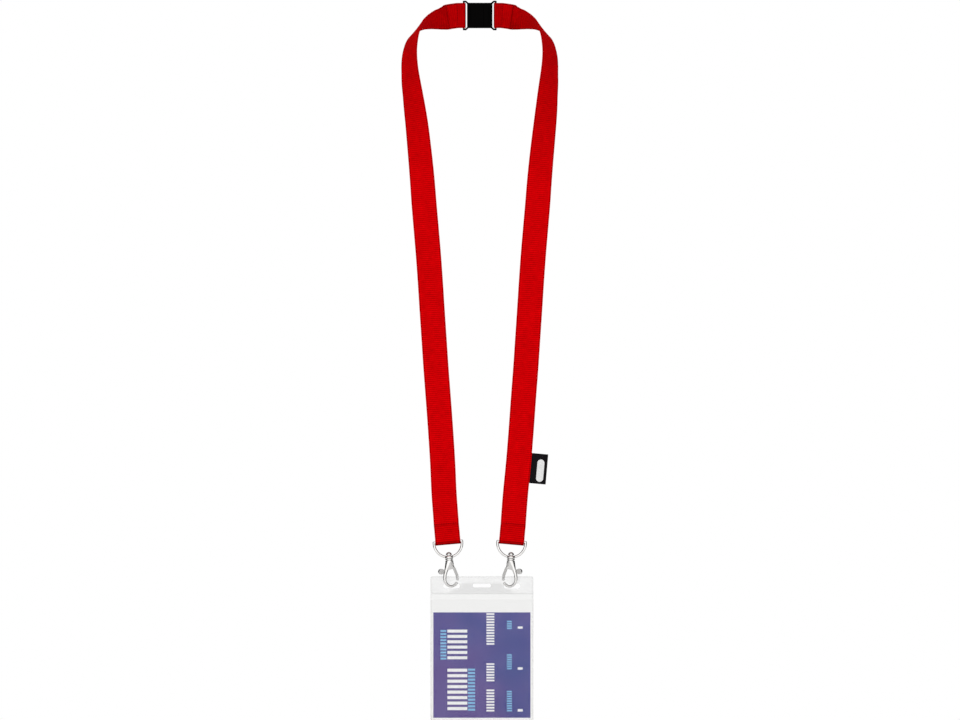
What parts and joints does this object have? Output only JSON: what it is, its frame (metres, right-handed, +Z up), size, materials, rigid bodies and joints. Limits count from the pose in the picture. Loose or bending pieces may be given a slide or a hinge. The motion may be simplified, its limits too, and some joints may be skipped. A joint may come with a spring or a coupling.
{
  "type": "lanyard badge holder",
  "caption": "Neck lanyard of flat webbing with a breakaway buckle and swivel hooks that carry a clear upright badge pocket with a card.",
  "frame": {"origin": "middle of the neck rest, level with the lower edge of the neck webbing", "axes": "+Z up as worn, front of the badge towards -Y, +X to the right seen from the front"},
  "size_m": [0.1251, 0.0461, 0.5724],
  "materials": {
    "webbing": "woven polyester",
    "thread": "sewing thread",
    "buckle_plastic": "moulded, satin",
    "nickel": "bright nickel plate",
    "spring_steel": "drawn wire",
    "clear_vinyl": "clear flexible vinyl",
    "card_print": "printed card",
    "label_fabric": "woven label",
    "label_thread": "woven mark"
  },
  "bodies": {
    "lanyard": {"strap_left_neck": "webbing", "strap_left_shoulder": "webbing", "strap_left_upper": "webbing", "strap_left_lower": "webbing", "strap_right_neck": "webbing", "strap_right_shoulder": "webbing", "strap_right_upper": "webbing", "strap_right_lower": "webbing", "stitch_rows": "thread", "buckle_socket": "buckle_plastic", "side_label": "label_fabric", "label_mark": "label_thread"},
    "buckle_plug": {"buckle_plug": "buckle_plastic", "stitch_rows_plug": "thread"},
    "ring_left": {"d_ring_left": "nickel"},
    "ring_right": {"d_ring_right": "nickel"},
    "hook_left": {"swivel_post_left": "nickel", "hook_body_left": "nickel", "trigger_pin_left": "nickel", "trigger_spring_left": "spring_steel"},
    "hook_right": {"swivel_post_right": "nickel", "hook_body_right": "nickel", "trigger_pin_right": "nickel", "trigger_spring_right": "spring_steel"},
    "trigger_left": {"trigger_left": "nickel"},
    "trigger_right": {"trigger_right": "nickel"},
    "badge": {"holder_back_sheet": "clear_vinyl", "holder_front_sheet": "clear_vinyl", "holder_weld": "clear_vinyl"},
    "card": {"card_insert": "card_print"}
  },
  "joints": [
    {"name": "ring_left_swing", "type": "hinge", "parent": "lanyard", "child": "ring_left", "pos_m": [-0.0253, -0.012, -0.4075], "axis": [1, 0, 0], "range_deg": [-18, 18]},
    {"name": "ring_right_swing", "type": "hinge", "parent": "lanyard", "child": "ring_right", "pos_m": [0.0253, -0.012, -0.4075], "axis": [1, 0, 0], "range_deg": [-18, 18]},
    {"name": "hook_left_swivel", "type": "hinge", "parent": "ring_left", "child": "hook_left", "pos_m": [-0.02438, -0.012, -0.41976], "axis": [-0.075, 0, 0.9972], "range_deg": [0, 20]},
    {"name": "trigger_left_open", "type": "hinge", "parent": "hook_left", "child": "trigger_left", "pos_m": [-0.02229, -0.01124, -0.42573], "axis": [-0.4214, 0.9063, -0.0317], "range_deg": [0, 7], "stiffness_Nm_per_rad": 0.004, "springref_deg": -17.19},
    {"name": "hook_right_swivel", "type": "hinge", "parent": "ring_right", "child": "hook_right", "pos_m": [0.02481, -0.012, -0.41979], "axis": [-0.0401, 0, -0.9992], "range_deg": [0, 20]},
    {"name": "trigger_right_open", "type": "hinge", "parent": "hook_right", "child": "trigger_right", "pos_m": [0.02293, -0.01124, -0.42582], "axis": [-0.4223, -0.9063, 0.017], "range_deg": [0, 7], "stiffness_Nm_per_rad": 0.004, "springref_deg": -17.19},
    {"name": "holder_swing", "type": "hinge", "parent": "ring_left", "child": "badge", "pos_m": [0.0017, -0.012, -0.4409], "axis": [1, 0, 0], "range_deg": [-5, 5]},
    {"name": "card_slide", "type": "slide", "parent": "badge", "child": "card", "axis": [0, 0, 1], "range_m": [0, 0.017]},
    {"name": "buckle_release", "type": "slide", "parent": "lanyard", "child": "buckle_plug", "axis": [1, 0, 0], "range_m": [0, 0.008], "deforming": ["strap_right_neck"]}
  ],
  "couplings": [
    {"joint": "ring_right_swing", "follows": "ring_left_swing", "ratio": 1}
  ]
}
